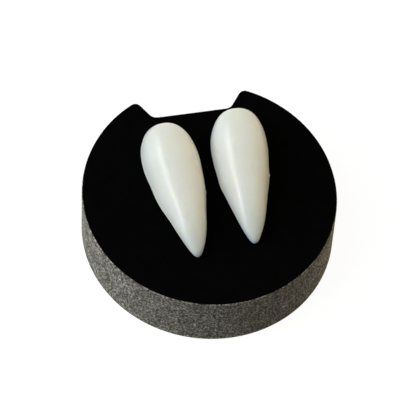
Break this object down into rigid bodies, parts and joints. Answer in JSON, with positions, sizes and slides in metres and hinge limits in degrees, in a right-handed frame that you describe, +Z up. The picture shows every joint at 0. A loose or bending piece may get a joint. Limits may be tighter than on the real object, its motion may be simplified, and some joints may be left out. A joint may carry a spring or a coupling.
{
  "type": "pair of vampire fang tooth caps on a foam display pad",
  "caption": "Pair of pointed vampire fang tooth caps, each with an open socket in its back, lying on a round foam display pad with a black flocked top and a finger notch.",
  "frame": {"origin": "centre of the foam disc's flat underside", "axes": "+Z up through the flocked top, +Y towards the notch in the pad's back edge, fang tips towards -Y"},
  "size_m": [0.032, 0.0305, 0.0137],
  "materials": {
    "foam": "open-cell foam, matt",
    "flock": "short black flock",
    "fang_resin": "smooth milky resin, slightly translucent"
  },
  "bodies": {
    "root": {"foam_pad": "foam", "flocked_top": "flock", "fang_left": "fang_resin", "fang_right": "fang_resin"}
  },
  "joints": []
}
